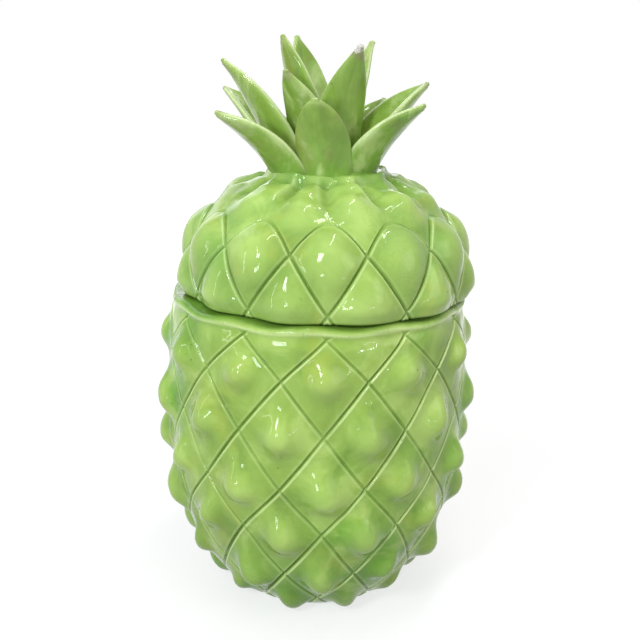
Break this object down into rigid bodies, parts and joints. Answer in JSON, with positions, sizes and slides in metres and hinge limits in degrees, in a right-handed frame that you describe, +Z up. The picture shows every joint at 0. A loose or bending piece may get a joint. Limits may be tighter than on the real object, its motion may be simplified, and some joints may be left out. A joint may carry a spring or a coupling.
{
  "type": "pineapple canister",
  "caption": "Glazed ceramic canister shaped like a pineapple, with a diamond-patterned jar, a domed lift-off lid and a crown of upright leaves.",
  "frame": {"origin": "middle of the jar's foot ring, on the surface it stands on", "axes": "+Z up the jar to the leaves, -Y towards the side shown first, +X to that side's right"},
  "size_m": [0.2014, 0.2004, 0.3429],
  "materials": {
    "jar_glaze": "glossy lime-green glaze over white earthenware",
    "lid_glaze": "glossy lime-green glaze, paler on the raised nubs",
    "leaf_glaze": "glossy leaf-green glaze, thin and pale on the rims"
  },
  "bodies": {
    "jar": {"jar": "jar_glaze"},
    "lid": {"lid": "lid_glaze", "leaf_front": "leaf_glaze", "leaf_front_left": "leaf_glaze", "leaf_front_right": "leaf_glaze", "leaf_left": "leaf_glaze", "leaf_right": "leaf_glaze", "leaf_back_left": "leaf_glaze", "leaf_back_right": "leaf_glaze", "leaf_back": "leaf_glaze", "leaf_inner_front": "leaf_glaze", "leaf_inner_right": "leaf_glaze", "leaf_tall_left": "leaf_glaze", "leaf_tall_back": "leaf_glaze", "leaf_tall_right": "leaf_glaze"}
  },
  "joints": [
    {"name": "lid_lift", "type": "slide", "parent": "jar", "child": "lid", "axis": [0, 0, 1], "range_m": [0, 0.15]}
  ]
}
